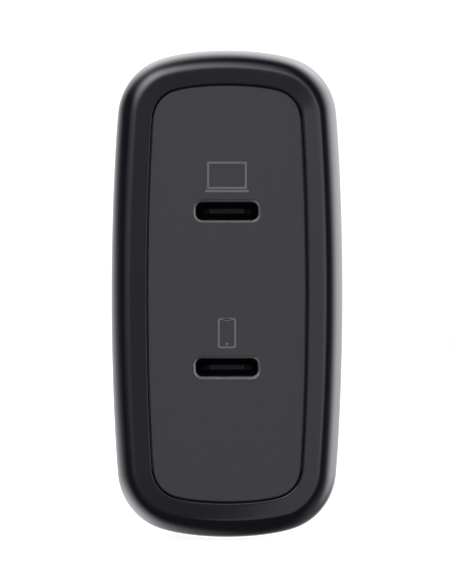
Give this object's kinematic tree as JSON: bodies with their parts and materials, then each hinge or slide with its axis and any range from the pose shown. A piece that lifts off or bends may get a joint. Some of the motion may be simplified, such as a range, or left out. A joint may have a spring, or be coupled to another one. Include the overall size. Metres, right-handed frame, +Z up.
{
  "type": "usb wall charger",
  "caption": "Dark wall charger with stacked USB-C sockets in a satin face and a two-blade mains plug that folds into its rear.",
  "frame": {"origin": "centre of the flat rear face, on the wall plane", "axes": "+Z up, +Y out of the rear face towards the wall, -Y out of the sockets, +X to the right as the sockets are faced"},
  "size_m": [0.0312, 0.062, 0.0654],
  "materials": {
    "shell_gloss": "polished moulded polycarbonate, near black",
    "face_satin": "fine satin moulded polycarbonate, dark grey",
    "inner_plastic": "moulded nylon",
    "nickel_plate": "bright nickel plate on brass",
    "bronze": "phosphor bronze strip",
    "steel": "stamped stainless steel",
    "black_insulation": "wire insulation",
    "red_insulation": "wire insulation",
    "socket_plastic": "glass-filled nylon",
    "gold_plate": "gold plate",
    "circuit_board": "green solder mask",
    "chip_resin": "moulded epoxy",
    "insulating_film": "insulating paper",
    "capacitor_box": "moulded box",
    "fuse_body": "moulded cap",
    "thermistor_coat": "dipped coating",
    "blue_coat": "dipped coating",
    "capacitor_sleeve": "shrink sleeve on an aluminium can",
    "ferrite": "sintered ferrite",
    "copper_wire": "enamelled copper wire",
    "winding_tape": "polyester tape",
    "thermal_pad": "silicone pad",
    "aluminium_sheet": "rolled sheet",
    "can_aluminium": "drawn can"
  },
  "bodies": {
    "case": {"front_housing": "shell_gloss", "face_plate": "face_satin", "rear_housing": "shell_gloss", "blade_tray": "inner_plastic", "blade_retainer": "inner_plastic", "contact_spring_left": "bronze", "contact_spring_right": "bronze", "detent_spring": "steel", "mains_lead_left": "black_insulation", "mains_lead_right": "red_insulation", "upper_port_shell": "steel", "upper_port_tongue": "socket_plastic", "upper_port_contacts": "gold_plate", "lower_port_shell": "steel", "lower_port_tongue": "socket_plastic", "lower_port_contacts": "gold_plate", "port_board": "circuit_board", "upper_port_controller": "chip_resin", "lower_port_controller": "chip_resin", "main_board": "circuit_board", "insulation_sheet": "insulating_film", "board_header": "chip_resin", "x_capacitor": "capacitor_box", "bridge_rectifier": "chip_resin", "fuse": "fuse_body", "thermistor": "thermistor_coat", "y_capacitor": "blue_coat", "bulk_capacitor_1": "capacitor_sleeve", "bulk_capacitor_2": "capacitor_sleeve", "bulk_capacitor_3": "capacitor_sleeve", "choke_core": "ferrite", "choke_winding_line": "copper_wire", "choke_winding_neutral": "copper_wire", "transformer_core_lower": "ferrite", "transformer_core_upper": "ferrite", "transformer_bobbin": "chip_resin", "transformer_winding": "winding_tape", "thermal_pad": "thermal_pad", "heat_spreader": "aluminium_sheet", "power_switch": "chip_resin", "controller": "chip_resin", "optocoupler": "chip_resin", "output_rectifier": "chip_resin", "upper_buck_inductor": "ferrite", "lower_buck_inductor": "ferrite", "output_capacitor_1": "can_aluminium", "output_capacitor_2": "can_aluminium"},
    "plug": {"blade_carrier": "inner_plastic", "blade_left": "nickel_plate", "blade_right": "nickel_plate"}
  },
  "joints": [
    {"name": "blade_fold", "type": "hinge", "parent": "case", "child": "plug", "pos_m": [0, -0.0036, 0.0095], "axis": [1, 0, 0], "range_deg": [0, 90]}
  ]
}
